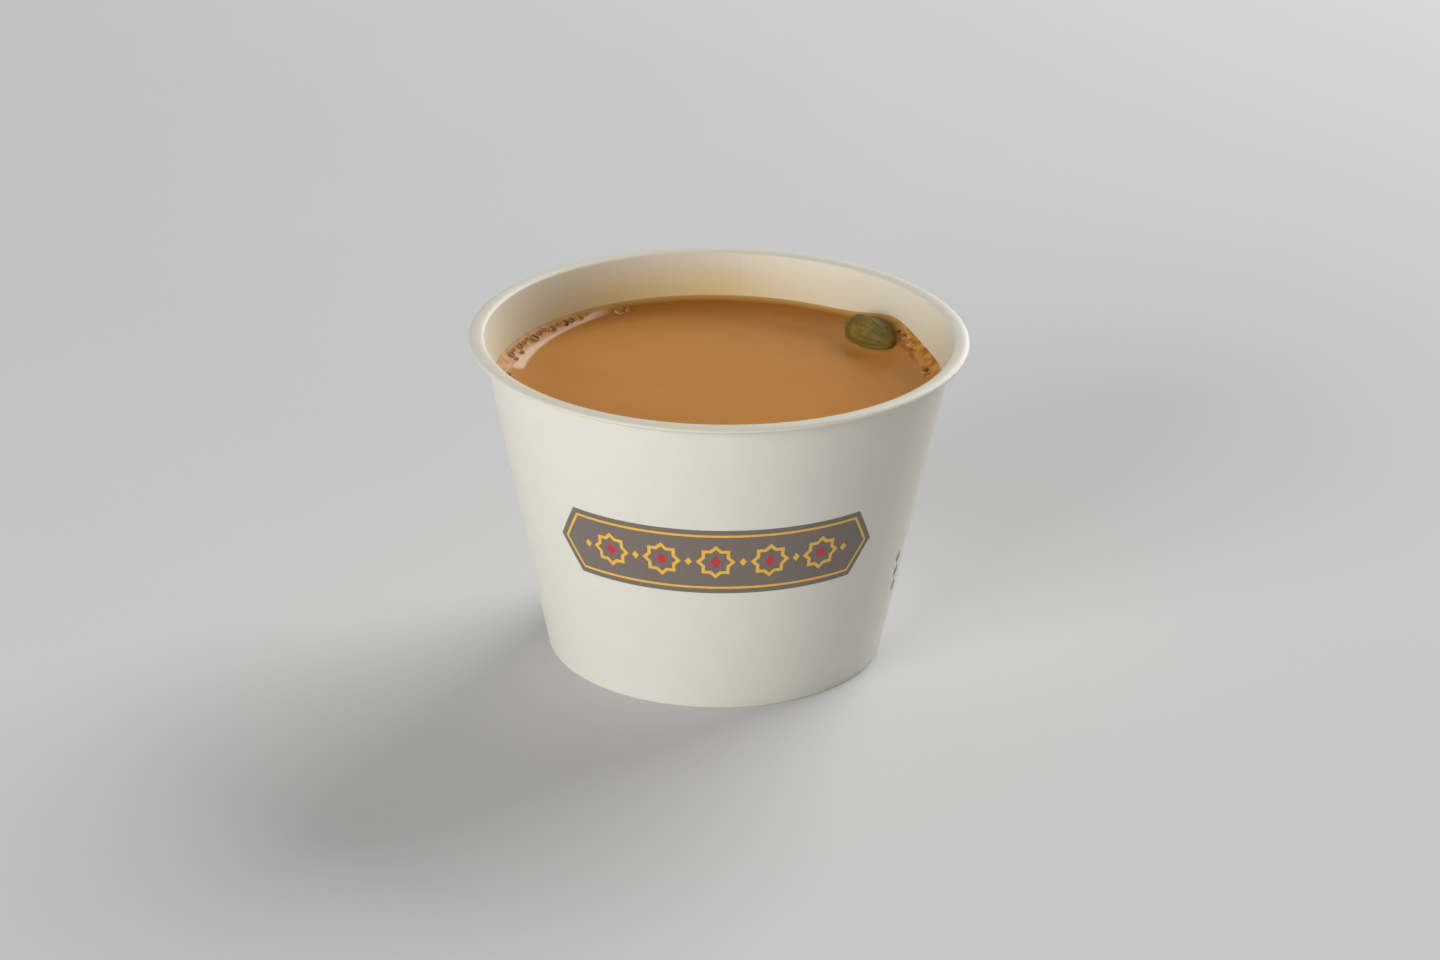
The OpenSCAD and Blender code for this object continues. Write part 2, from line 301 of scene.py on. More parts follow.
# %% [markdown]
# ## Coated board
# Cup board is white with a warm cast. Its bare side is satin, with the faint clouds of its
# fibres, and the side that holds the drink has a skin of plastic, which is smoother and shinier.
# Photographs of paper could be wrapped round the wall, but noise in Object coordinates has no
# seam and follows the cup at any size, so the clouds and the fibres are two noises. Only the bare
# underside of the base shows.


# %% A finish and its nodes
def paint(red, green, blue):
    """A display colour, 0 to 255 a channel, as the linear colour that shaders take."""
    c = np.array([red, green, blue]) / 255
    linear = np.where(c <= 0.04045, c / 12.92, ((c + 0.055) / 1.055) ** 2.4)
    return (*linear.tolist(), 1.0)


def new_finish(name, **constants):
    """A material and its Principled shader, with constants set on the shader's own sockets."""
    material = bpy.data.materials.new(name)
    material.use_nodes = True
    shader = material.node_tree.nodes["Principled BSDF"]
    for socket, value in constants.items():
        shader.inputs[socket.replace("_", " ")].default_value = value
    return material, shader


def add_node(material, kind, settings=(), **inputs):
    """One node. Each input is a value, or the output of another node to link."""
    tree = material.node_tree
    node = tree.nodes.new("ShaderNode" + kind)
    for attribute, value in dict(settings).items():
        setattr(node, attribute, value)
    for name, value in inputs.items():
        socket = node.inputs[int(name[1:])] if name[1:].isdigit() else node.inputs[name]
        if isinstance(value, bpy.types.NodeSocket):
            tree.links.new(value, socket)
        else:
            socket.default_value = value
    return node


def link(material, output, shader, socket):
    """Links an output to one of the shader's sockets."""
    material.node_tree.links.new(output, shader.inputs[socket])


# %% Patterns and numbers from nodes
def object_place(material):
    """The place on the piece, in metres, which stays put as the piece moves."""
    return add_node(material, "TexCoord").outputs["Object"]


def noise(material, place, size_mm, detail=3, roughness=0.5):
    """Clouds about size_mm across, from 0 to 1."""
    node = add_node(material, "TexNoise", Vector=place, Scale=1 / (size_mm * MM),
                    Detail=detail, Roughness=roughness)
    return node.outputs["Fac"]


def ramp(material, factor, *stops):
    """A colour ramp through (position, colour) stops."""
    node = add_node(material, "ValToRGB", Fac=factor)
    elements = node.color_ramp.elements
    while len(elements) < len(stops):
        elements.new(1.0)
    for element, (position, colour) in zip(elements, stops):
        element.position = position
        element.color = colour
    return node.outputs["Color"]


def spread(material, value, low, high, start=0.0, stop=1.0):
    """A value between start and stop carried to the range from low to high, and held beyond."""
    node = add_node(material, "MapRange", Value=value)
    limits = {"From Min": start, "From Max": stop, "To Min": low, "To Max": high}
    for name, limit in limits.items():
        node.inputs[name].default_value = limit
    return node.outputs["Result"]


def times(material, product, *factors):
    """The product of two or more factors."""
    for factor in factors:
        node = add_node(material, "Math", {"operation": "MULTIPLY"}, _0=product, _1=factor)
        product = node.outputs["Value"]
    return product


def axes(material, place):
    """The three coordinates of a place."""
    return add_node(material, "SeparateXYZ", Vector=place).outputs


def mix(material, factor, first, second):
    """A colour between two others."""
    node = add_node(material, "Mix", {"data_type": "RGBA"}, Factor=factor)
    for socket, colour in (("A", first), ("B", second)):
        target = next(i for i in node.inputs if i.name == socket and i.type == "RGBA")
        if isinstance(colour, bpy.types.NodeSocket):
            material.node_tree.links.new(colour, target)
        else:
            target.default_value = colour
    return next(o for o in node.outputs if o.type == "RGBA")


def add_bump(material, shader, height, depth_mm):
    """Relief of a depth in millimetres, from a height between 0 and 1."""
    node = add_node(material, "Bump", Height=height, Distance=depth_mm * MM)
    link(material, node.outputs["Normal"], shader, "Normal")


# %% Bare and coated board
CLOUD = 5.0
FIBRE = 0.5
# Where the tea film and its painted bounce light start over the tea's edge, and the span at the left
# over which they strengthen.
STAIN_AND_BOUNCE_START = 1.5
STAIN_AND_BOUNCE_LEFT = (-35, -22)


def board(name, pale, dark, rough, relief_mm):
    """Board with clouds of fibre in its colour and single fibres in its gloss and relief."""
    material, shader = new_finish(name, Specular_IOR_Level=0.3)
    place = object_place(material)
    clouds = noise(material, place, CLOUD, 5, 0.62)
    fibres = noise(material, place, FIBRE, 3)
    colour = ramp(material, clouds, (0.3, dark), (0.7, pale))
    link(material, colour, shader, "Base Color")
    link(material, spread(material, fibres, *rough), shader, "Roughness")
    add_bump(material, shader, fibres, relief_mm)
    return material, shader, colour


def stain_and_bounce(material, shader, colour, film):
    """A film that tea leaves on the wall, with the tea's bounced light painted into it: strongest at
    the tea, fading upwards and to both sides.
    """
    across, _, up = axes(material, object_place(material))
    low = spread(material, up, 1.0, 0.15, (tea_edge_z + STAIN_AND_BOUNCE_START) * MM, (cup_h - ROLL_H) * MM)
    right = spread(material, across, 0.7, 0.25, 0.0, rim_r / 2 * MM)
    left = spread(material, across, 0.45, 1.0, STAIN_AND_BOUNCE_LEFT[0] * MM, STAIN_AND_BOUNCE_LEFT[1] * MM)
    stain_and_bounce_colour = mix(material, times(material, low, left, right), colour, film)
    link(material, stain_and_bounce_colour, shader, "Base Color")


bare_board, _, _ = board(
    "bare_board", paint(221, 218, 206), paint(218, 215, 203), (0.42, 0.58), 0.012)
coated_board, shader, colour = board(
    "coated_board", paint(219, 216, 202), paint(216, 213, 199), (0.42, 0.52), 0.006)
# The coated side's tea film, with bounce light from the tea painted into it.
stain_and_bounce(coated_board, shader, colour, paint(224, 193, 118))
cup_wall.data.materials.append(bare_board)
cup_wall.data.materials.append(coated_board)
base_node = frame["nodes"]["cup_base"]
base_node.data.materials.clear()
base_node.data.materials.append(bare_board)
print("board on", cup_wall.name, "and", base_node.name)

# %% [markdown]
# ## The printed panel
# The front of the cup carries a dark panel with a row of gold ornaments. Ink could be painted by
# the board's material, but thin lines would then blur when the material is baked, so each inked
# area is a slab a few hundredths of a millimetre thick that follows the cone. A slab's outline
# is a list of corners in millimetres along the wall and up it. A filled area shrinks its outline
# to a point above and below, and a line runs between two outlines.

# %% Slabs of ink on the wall
INK = 0.02
ORNAMENT_STEPS = 4
PANEL_STEPS = 40


def outline(corners, steps):
    """Points along the straight edges of a closed outline, in steps of equal length on each edge."""
    corners = np.asarray(corners, float)
    t = np.arange(steps)[:, None] / steps
    edges = corners[:, None] * (1 - t) + np.roll(corners, -1, 0)[:, None] * t
    return edges.reshape(-1, 2)


def on_wall(flat, centre, height):
    """Flat points round a centre (along the wall, up it) laid on the cone, a height over it."""
    along, up = centre[0] + flat[..., 0], centre[1] + flat[..., 1] * math.cos(lean)
    angle = along / face_r(0, centre[1]) - math.pi / 2
    r = face_r(-height, up)
    return np.stack([r * np.cos(angle), r * np.sin(angle), up], -1)


def filled(shape, centre, low, high, rings=2):
    """A slab inside an outline: the outline shrunk towards the centre in rings, above and below."""
    shares = np.linspace(0, 1, rings + 1)
    flat = shares[:, None, None] * shape
    top = on_wall(flat, centre, high)
    return np.vstack([top, on_wall(flat[::-1], centre, low)])


def lined(outer, inner, centre, low, high):
    """A slab between two outlines with the same count of points."""
    loop = [(outer, high), (inner, high), (inner, low), (outer, low)]
    return np.stack([on_wall(shape, centre, height) for shape, height in loop])


def diamond(width, height):
    """A lozenge."""
    w, h = width / 2, height / 2
    return outline([(w, 0), (0, h), (-w, 0), (0, -h)], ORNAMENT_STEPS)


def star(radius):
    """An eight-pointed star, two squares turned against each other by an eighth of a turn."""
    notch = math.cos(math.pi / 4) / math.cos(math.pi / 8)
    turn = np.arange(16) * math.pi / 8
    r = radius * np.where(np.arange(16) % 2 == 0, 1, notch)
    return outline(np.stack([r * np.cos(turn), r * np.sin(turn)], -1), ORNAMENT_STEPS)


def pointed_panel(width, height, point):
    """A long panel whose ends come to a blunt point."""
    w, h = width / 2, height / 2
    corners = [(w, 0), (w - point, h), (point - w, h), (-w, 0), (point - w, -h), (w - point, -h)]
    return outline(corners, PANEL_STEPS)


# %% Panel, frame and ornaments
PANEL_AT = (0, 31.5)
PANEL = (61, 13.4, 4)
FRAME_IN = 1.0
FRAME_W = 0.45
STAR_R = 3.5
STAR_W = 0.85
STAR_PITCH = 9.6
STARS = np.arange(-2, 3) * STAR_PITCH
JEWEL = (2.0, 2.6)
BEAD = (1.3, 1.7)
PANEL_RINGS = 24


def inset_panel(inset):
    """The panel's outline drawn in by an even margin, so its ends keep their slant."""
    width, height, point = PANEL
    slant = point / (height / 2)
    tips = 2 * inset * math.hypot(1, slant)
    return pointed_panel(width - tips, height - 2 * inset, point - slant * inset)


on_board, on_panel = (-INK, INK), (INK / 2, 2 * INK)
panel_grids = [filled(pointed_panel(*PANEL), PANEL_AT, *on_board, rings=PANEL_RINGS)]
frame_lines = inset_panel(FRAME_IN), inset_panel(FRAME_IN + FRAME_W)
star_lines = star(STAR_R), star(STAR_R - STAR_W)
gold_grids = [lined(*frame_lines, PANEL_AT, *on_panel)]
gold_grids += [lined(*star_lines, (x, PANEL_AT[1]), *on_panel) for x in STARS]
red_grids = [filled(diamond(*JEWEL), (x, PANEL_AT[1]), *on_panel) for x in STARS]
bead_at = np.concatenate([STARS - STAR_PITCH / 2, STARS[-1:] + STAR_PITCH / 2])
bead_grids = [filled(diamond(*BEAD), (x, PANEL_AT[1]), *on_panel) for x in bead_at]

SIDE_MARK = (2.2, 2.8)
SIDE_MARK_TURN = 71
SIDE_MARK_UP = (15.4, 18.6, 21.8)
side_x = math.radians(SIDE_MARK_TURN) * face_r(0, SIDE_MARK_UP[1])
mark_grids = [filled(diamond(*SIDE_MARK), (side_x, z), *on_board) for z in SIDE_MARK_UP]
print(f"panel {PANEL[0]} mm long, with {len(STARS)} stars and {len(bead_at)} beads")

# %% [markdown]
# ## Ink
# Ink soaks into board unevenly, so an inked area is faintly mottled, and it shines a little more
# than the paper round it. An image could hold the mottle, but one noise can drive colour, gloss
# and relief together, and one function then mixes all four inks.


# %% Inks
MOTTLE = 0.7
INK_RELIEF = 0.006


def ink(name, colour, faded, rough):
    """Ink that lies a little unevenly on the board, so that its colour is faintly mottled."""
    material, shader = new_finish(name, Specular_IOR_Level=0.4)
    place = object_place(material)
    mottle = noise(material, place, MOTTLE, 4, 0.65)
    link(material, ramp(material, mottle, (0.35, colour), (0.75, faded)), shader, "Base Color")
    link(material, spread(material, mottle, *rough), shader, "Roughness")
    add_bump(material, shader, mottle, INK_RELIEF)
    return material


umber_ink = ink("umber_ink", paint(116, 106, 99), paint(123, 113, 106), (0.4, 0.52))
gold_ink = ink("gold_ink", paint(232, 178, 62), paint(238, 190, 84), (0.32, 0.42))
red_ink = ink("red_ink", paint(190, 46, 64), paint(200, 62, 78), (0.36, 0.46))
grey_ink = ink("grey_ink", paint(128, 122, 118), paint(140, 134, 130), (0.4, 0.52))

printed = [
    ("panel_ground", panel_grids, umber_ink, False),
    ("panel_gold_lines", gold_grids, gold_ink, True),
    ("panel_gold_beads", bead_grids, gold_ink, False),
    ("panel_red_jewels", red_grids, red_ink, False),
    ("side_marks", mark_grids, grey_ink, False),
]
for name, grids, material, ring in printed:
    slab = make_skin(name, grids, ring=ring)
    slab.data.materials.append(material)
    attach(slab, "cup")

# %% [markdown]
# ## The tea
# Tea lies flat and climbs where it wets the wall and the pod. Only its top shows, but the piece is
# a closed body, so that it can be lifted out as one. Its shape is a profile turned about the
# axis: out from the middle along the surface, down beside the wall and back along the bottom. The
# climb dies away with distance, and that curved edge is what catches the light.

# %% Shape of the tea
CLIMB_W = 2.4
SIDE_GAP = 0.05
WET = 0.03
TEA_ROWS = 90
SIDE_ROWS = 24
TEA_COLUMNS = 320
CROWD = 1.6
POD_ANGLE = 38
POD_L = 12.6
POD_D = 7.2
LOBE = 0.24
RIB = 0.07
POD_FLOAT = 1.8
POD_WALL_GAP = 1.0
POD_WATERLINE = 0.95
POD_CLIMB = 0.7
POD_CLIMB_W = 1.2
POD_DRAW = 1.8
POD_DRAW_W = math.radians(11)

climb_h = tea_edge_z - tea_level
pod_z = tea_level + POD_FLOAT
pod_ring_r = face_r(WALL_T, pod_z) - POD_WALL_GAP - (POD_D / 2 + LOBE + RIB)
pod_turn = math.radians(POD_ANGLE)
pod_side = np.array([math.cos(pod_turn), math.sin(pod_turn), 0])
pod_axis = np.array([pod_side[1], -pod_side[0], 0])
pod_at = pod_ring_r * pod_side + [0, 0, pod_z]


def wall_climb(r):
    """Rise beside the wall: it falls off as exp(-distance / width)."""
    return climb_h * np.exp(-np.maximum(face_r(WALL_T, tea_edge_z) - r, 0) / CLIMB_W)


def edge_lift(a):
    """Height by which the edge is drawn up behind the pod: a bell over the angle about the cup."""
    return POD_DRAW * np.exp(-((a - pod_turn) / POD_DRAW_W) ** 2)


def drawn_up(r, a):
    """That lift in from the edge, where it dies away as the climb does."""
    return edge_lift(a) * np.exp((r - face_r(WALL_T, tea_edge_z + edge_lift(a))) / CLIMB_W)


def tea_climb(x, y):
    """Rise of the surface beside the wall, and round the pod by its waterline, an ellipse."""
    along = (x - pod_at[0]) * pod_axis[0] + (y - pod_at[1]) * pod_axis[1]
    across = (x - pod_at[0]) * pod_side[0] + (y - pod_at[1]) * pod_side[1]
    half_l, half_d = POD_WATERLINE * POD_L / 2, POD_WATERLINE * POD_D / 2
    from_pod = (np.hypot(along / half_l, across / half_d) - 1) * half_d
    return wall_climb(np.hypot(x, y)) + POD_CLIMB * np.exp(-np.abs(from_pod) / POD_CLIMB_W)


def tea_body():
    """Rows run from the middle of the surface to the wall, down the side and back underneath.

    On the surface they crowd towards the wall, where it bends: 1 - (1 - share) ** CROWD.
    """
    a = np.linspace(0, 2 * math.pi, TEA_COLUMNS, endpoint=False)
    share = np.linspace(0, 1, TEA_ROWS)
    edge_r = face_r(WALL_T, tea_edge_z + edge_lift(a)) + WET
    r = edge_r * (1 - (1 - share[:, None]) ** CROWD)
    x, y = r * np.cos(a), r * np.sin(a)
    top = np.stack([x, y, tea_level + tea_climb(x, y) + drawn_up(r, a)], -1)
    floor = base_rise + SIDE_GAP
    down = np.linspace(0, 1, SIDE_ROWS)[:, None]
    z = (tea_edge_z + edge_lift(a) - 4 * SIDE_GAP) * (1 - down) + floor * down
    side_r = face_r(WALL_T + SIDE_GAP, z)
    side_r = np.vstack([side_r, side_r[-1] * np.array([[0.66], [0.33], [0]])])
    z = np.vstack([z, z[-1:], z[-1:], z[-1:]])
    side = np.stack([side_r * np.cos(a), side_r * np.sin(a), z], -1)
    return np.vstack([top, side])


tea = make_skin("milk_tea", [tea_body()])
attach(tea, "drink")
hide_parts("tea")


# %% [markdown]
# ## Milk in the tea
# Milk makes tea cloudy: light goes in a little way and comes back, which is subsurface scattering.
# The rest is a stack of layers, each laid over the last by a mask: painted shade at the back, where
# the back wall shades the tea, a pale crescent at the left that is a painted highlight, the light's
# reflection in the tea's climbing edge, a thin amber edge where the tea climbs, and froth at both
# sides. They could be painted on an image. Masks made from distances stay sharp at any size and turn
# with the tea.


# %% Milk tea
# The pale crescent at the left is a painted highlight, the light's reflection in the tea's climbing
# edge.
HIGHLIGHT_INNER = (2.8, 2.4, 38.5)
HIGHLIGHT_OUTER = (7.6, -1.8, 46.1)
HIGHLIGHT_SOFT = 0.25
HIGHLIGHT_X, HIGHLIGHT_Y = (-20, -25), (5.5, 7)
# The darker tea at the back is painted shade, where the back wall shades it.
BACK_SHADE_Y, BACK_SHADE_IN = (14, 32), (6, 1)
LEFT_X, LEFT_IN = (-22, -34), (2.9, 2.3)
RIGHT_X, RIGHT_Y, RIGHT_IN = (31, 35), (2, 8), (3.2, 2.4)
EDGE_IN = (1.1, 0.1)
DULL_IN = (2.4, 1.6)
STREAK = 16.0
SPECK = 1.8


def span(material, value, start_mm, stop_mm, full=1.0):
    """From nothing at one length, in millimetres, to full at another, and held beyond."""
    return spread(material, value, 0, full, start_mm * MM, stop_mm * MM)


def milk_tea():
    """Cloudy tea under its layers. The painted highlight lies outside one circle and inside another.

    Each circle is the place of its centre and its radius. A layer's mask is a product of spans
    along x, along y and in from the wall, each from where it starts to where it is full.
    """
    material, shader = new_finish(
        "milk_tea", IOR=1.34, Specular_IOR_Level=0.18, Subsurface_Weight=0.15,
        Subsurface_Scale=0.001, Subsurface_Radius=(1.0, 0.55, 0.25),
    )
    place = object_place(material)
    x, y, _ = axes(material, place)
    flat = add_node(material, "CombineXYZ", X=x, Y=y).outputs["Vector"]
    edge_r = face_r(WALL_T, tea_edge_z)

    def distance(x_mm, y_mm):
        """Distance on the flat from a point."""
        point = (x_mm * MM, y_mm * MM, 0)
        node = add_node(material, "VectorMath", {"operation": "DISTANCE"}, _0=flat, _1=point)
        return node.outputs["Value"]

    def at_wall(start, stop, full=1.0):
        """From nothing to full between two distances in from the wall."""
        return span(material, distance(0, 0), edge_r - start, edge_r - stop, full)

    def within(x_mm, y_mm, radius, soft):
        """Inside a circle for a positive softness of its edge, outside it for a negative one."""
        return span(material, distance(x_mm, y_mm), radius + soft, radius - soft)

    streaks = noise(material, place, STREAK, 4, 0.55)
    colour = ramp(material, streaks, (0.25, paint(197, 133, 65)), (0.75, paint(202, 140, 71)))
    specks = noise(material, place, SPECK, 2, 0.5)
    tan_froth = ramp(material, specks, (0.35, paint(194, 144, 86)), (0.65, paint(216, 170, 118)))
    amber_froth = ramp(material, specks, (0.4, paint(150, 92, 34)), (0.6, paint(212, 150, 76)))
    # This mask is a painted highlight: the light's reflection in the tea's climbing edge, a pale
    # crescent between two circles.
    skin = times(material, within(*HIGHLIGHT_INNER, -HIGHLIGHT_SOFT), within(*HIGHLIGHT_OUTER, HIGHLIGHT_SOFT),
                 span(material, y, *HIGHLIGHT_Y), span(material, x, *HIGHLIGHT_X))
    # Painted shade: the tea darkens towards the back wall, which shades it.
    behind = times(material, at_wall(*BACK_SHADE_IN), span(material, y, *BACK_SHADE_Y))
    left = times(material, at_wall(*LEFT_IN), span(material, x, *LEFT_X))
    right = times(material, at_wall(*RIGHT_IN), span(material, x, *RIGHT_X),
                  span(material, y, *RIGHT_Y, 0.8))
    layers = [
        (behind, paint(160, 101, 40)),
        (skin, paint(244, 207, 180)),
        (at_wall(*EDGE_IN, 0.7), paint(212, 170, 92)),
        (left, tan_froth),
        (right, amber_froth),
    ]
    for share, tone in layers:
        colour = mix(material, share, colour, tone)
    link(material, colour, shader, "Base Color")
    dull = spread(material, at_wall(*DULL_IN), 0.19, 0.59)
    link(material, dull, shader, "Roughness")
    return material


tea.data.materials.append(milk_tea())
print("milk tea on", tea.name)

# %% [markdown]
# ## Bubbles at the edge
# Pouring leaves bubbles, which gather where the tea meets the wall. Each one is a thin dome of tea
# over a hollow whose dark colour is painted shade, with a collar where the tea climbs its foot,
# painted paler than the tea as a highlight. Plain spheres would look like beads, so a bubble's
# profile has all three: half a circle, a flare and a shallow dish.
# Places and sizes are listed, as in the model: direction from +X, and size and distance in from the
# wall in diameters of a common bubble.

# %% The bubbles
BUBBLE_D = 1.5
BUBBLE_LIFT = 0.3
BUBBLE_GAP = 0.35
COLLAR = 0.3
COLLAR_DEEP = 0.12
DISH_LOW = 0.05
DISH_HIGH = 0.12
DISH_EDGE = 0.97
BUBBLE_COLUMNS = 32
bubbles = [
    (179, 0.6, 1.6), (177, 0.75, 0.9), (165.2, 0.55, 0.95), (164.5, 0.85, 0), (161.6, 0.5, 0),
    (160.2, 0.6, 0.85), (158, 0.8, 0), (155.3, 0.6, 0.05), (153.2, 0.45, 0), (150.6, 1.05, 0.1),
    (147.4, 0.65, 0), (145, 0.55, 0), (142.4, 0.9, 0.15), (139.6, 0.5, 0), (137, 0.9, 0),
    (134.3, 0.75, 0), (131.4, 0.8, 0), (128.8, 0.45, 0), (119, 1, 0.25), (116.4, 0.6, 0.45),
    (33, 0.4, 0), (30.5, 0.7, 0.05), (27.5, 0.85, 0), (24.6, 0.55, 0), (10.5, 0.85, 0.8),
    (7.4, 0.6, 1),
]


def bubble_profile(radius, lift):
    """Distances from a bubble's axis and heights over the tea, from its top to its dish.

    The dome is a quarter of a circle. The collar is a quarter of an ellipse, which leaves the dome
    straight down and meets the tea level. The dish rises with the square of the distance.
    """
    dome = np.linspace(0, math.pi / 2, 14)
    flare = np.linspace(0, math.pi / 2, 7)[1:]
    under = np.array([1 + COLLAR, DISH_EDGE])
    dish = np.array([DISH_EDGE, 0.75, 0.5, 0.25, 0])
    away = [np.sin(dome), 1 + COLLAR - COLLAR * np.cos(flare), under, dish]
    rise = [lift + radius * np.cos(dome), lift * (1 - np.sin(flare)), 0 * under - COLLAR_DEEP,
            DISH_LOW + (DISH_HIGH - DISH_LOW) * dish ** 2]
    return radius * np.concatenate(away)[:, None], np.concatenate(rise)[:, None]


def bubble(direction, size, inset):
    """The profile turned about an axis that stands square to the slope of the tea."""
    radius = size * BUBBLE_D / 2
    r = face_r(WALL_T + BUBBLE_GAP, tea_level + climb_h / 2) - radius - inset * BUBBLE_D
    d = math.radians(direction)
    drawn = drawn_up(r, d)
    climb = tea_climb(r * math.cos(d), r * math.sin(d)) + drawn
    lie = math.atan((wall_climb(r) + drawn) / CLIMB_W)
    a = np.linspace(0, 2 * math.pi, BUBBLE_COLUMNS, endpoint=False)
    away, rise = bubble_profile(radius, size * BUBBLE_LIFT)
    uphill, along = away * np.cos(a), away * np.sin(a)
    outward = r + uphill * math.cos(lie) - rise * math.sin(lie)
    z = tea_level + climb + uphill * math.sin(lie) + rise * math.cos(lie)
    x = outward * math.cos(d) - along * math.sin(d)
    y = outward * math.sin(d) + along * math.cos(d)
    return np.stack([x, y, z], -1)


froth = make_skin("tea_bubbles", [bubble(*b) for b in bubbles])
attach(froth, "drink")
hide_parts("froth_bubbles")


# %% [markdown]
# ## A bubble's film
# The film is clear on top and thickens towards the foot, where it turns into tea. Glass would need
# many bounces of light for so small a thing, so the film is made see-through instead. The rows of the
# profile are the V of the UV map, and a ramp along V gives every zone its colour and its clearness:
# the collar is painted paler than the tea as a highlight, and the dish is painted darker as shade.
# Patches of a coarse noise paint shade into some bubbles, so that they are darker than others.


# %% Bubble film
PATCH = 3.0
DARK_X = (-36, -31)


def along_rows(material):
    """How far along the rows of its skin a point lies, from 0 to 1: the V of the UV map."""
    return axes(material, add_node(material, "TexCoord").outputs["UV"])["Y"]


def grey(value):
    """A colour that stands for a plain number."""
    return (value, value, value, 1.0)


def bubble_film():
    """By rows of the profile: a clear dome, a tan collar painted paler than the tea as a highlight,
    which ends in the tea's colour, and a dish painted darker as shade.
    """
    material, shader = new_finish("bubble_film", Roughness=0.08, IOR=1.33, Specular_IOR_Level=0.25)
    row = along_rows(material)
    # The collar's stops are painted paler than the tea as a highlight, and the last stop, on the
    # dish, is painted shade.
    film = ramp(material, row, (0.0, paint(230, 190, 132)), (0.46, paint(218, 172, 110)),
                (0.6, paint(216, 168, 104)), (0.73, paint(196, 138, 74)), (0.82, paint(164, 106, 50)))
    place = object_place(material)
    # Painted shade: patches of noise darken some bubbles at the left.
    patches = spread(material, noise(material, place, PATCH, 1), 0, 0.85, 0.46, 0.56)
    painted_patch_shade = times(material, patches, span(material, axes(material, place)["X"], *DARK_X))
    link(material, mix(material, painted_patch_shade, film, paint(96, 58, 22)), shader, "Base Color")
    clear = ramp(material, row, (0.0, grey(0.14)), (0.38, grey(0.24)), (0.54, grey(0.75)),
                 (0.6, grey(1)))
    link(material, clear, shader, "Alpha")
    return material


froth.data.materials.append(bubble_film())
print("film on", len(bubbles), "bubbles")

# %% [markdown]
# ## The cardamom pod
# A green cardamom pod has three lobes, fine ribs along it, a short stalk and a blunt beak at the
# other end. It could be sculpted, but a formula does it: the radius along the pod times a
# function of the angle. The ribs fade at both ends and wander a little, as dried husk does.

# %% The husk
STALK_L = 1.1
STALK_R = 0.6
RIBS = 18
WANDER = 0.35
DENT = 0.05
UNDER_STALK = 3
POD_ROWS = 120
POD_COLUMNS = 216


def pod_taper(s):
    """Share of the full radius from -1 at the stalk to 1 at the tip: blunt behind, finer ahead."""
    behind = np.clip(1 - np.abs(s) ** 2.4, 0, 1) ** 0.56
    ahead = np.clip(1 - np.abs(s) ** 1.9, 0, 1) ** 0.72
    return np.where(s < 0, behind, ahead)


def husk_body():
    """Rings about the pod's axis: the stalk's, then taper times lobes, ribs and shallow dents."""
    s = -np.cos(np.linspace(0, math.pi, POD_ROWS))[:, None]
    a = np.linspace(0, 2 * math.pi, POD_COLUMNS, endpoint=False)
    full = 1 - np.abs(s) ** 6
    wander = WANDER * np.sin(2.3 * s + 0.7 * np.sin(3 * a))
    ribs = RIB * full * np.cos(RIBS * a + wander)
    lobes = LOBE * (0.4 + 0.6 * full) * np.cos(3 * a)
    dents = DENT * np.sin(5 * s + 2 * a) * np.sin(3 * s - a)
    r = pod_taper(s) * (POD_D / 2 + lobes + ribs + dents)
    x = s * POD_L / 2 + 0 * a
    neck = 0.5 * np.exp(-(1 + s) / 0.03)
    r = np.maximum(r, STALK_R * (0.2 + neck) * (s < 0))
    stalk_x = -POD_L / 2 - STALK_L * np.array([1.0, 1.0, 0.85, 0.5, 0.15])[:, None]
    stalk_r = STALK_R * np.array([0, 0.8, 1.0, 0.86, 0.95])[:, None]
    knobs = 1 + 0.08 * np.cos(5 * a)
    x = np.vstack([stalk_x + 0 * a, x[UNDER_STALK:]])
    r = np.vstack([stalk_r * knobs, r[UNDER_STALK:]])
    rings = np.stack([x, r * np.cos(a), r * np.sin(a)], -1)
    turn = np.stack([pod_axis, pod_side, [0, 0, 1]])
    return rings @ turn + pod_at


husk = make_skin("cardamom_husk", [husk_body()])
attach(husk, "cardamom")
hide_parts("pod_husk")


# %% [markdown]
# ## Wet husk
# A pod that has lain in tea is olive and mottled, a thin film of tea wets it, and the end with
# the stalk is veiled where tea has washed over it. Blotches and fibres are two noises. The veil
# runs along the pod, which is the V of its UV map.


# %% Wet husk
BLOTCH = 2.2
HUSK_FIBRE = 0.35
HUSK_RELIEF = 0.05


def wet_husk():
    """Olive husk, mottled, with a veil of tea over its stalk end, under a wet film."""
    material, shader = new_finish("wet_husk", IOR=1.4, Specular_IOR_Level=0.3, Coat_Weight=0.08,
                                  Coat_Roughness=0.2, Coat_IOR=1.33)
    place = object_place(material)
    blotches = noise(material, place, BLOTCH, 4, 0.6)
    fibres = noise(material, place, HUSK_FIBRE, 3, 0.6)
    green = ramp(material, blotches, (0.3, paint(93, 78, 29)), (0.52, paint(116, 99, 36)),
                 (0.74, paint(140, 120, 56)))
    veil = ramp(material, along_rows(material), (0.08, grey(0.6)), (0.34, grey(0.0)))
    link(material, mix(material, veil, green, paint(150, 112, 60)), shader, "Base Color")
    link(material, spread(material, fibres, 0.42, 0.6), shader, "Roughness")
    add_bump(material, shader, fibres, HUSK_RELIEF)
    return material


husk.data.materials.append(wet_husk())
print("wet husk on", husk.name)

# %% [markdown]
# ## Seeds and core
# The husk hides its seeds and the core that carries them. Their solids are fine as they are, so
# the nodes stay and only get finishes, dark for the seeds and pale for the core, by one function.


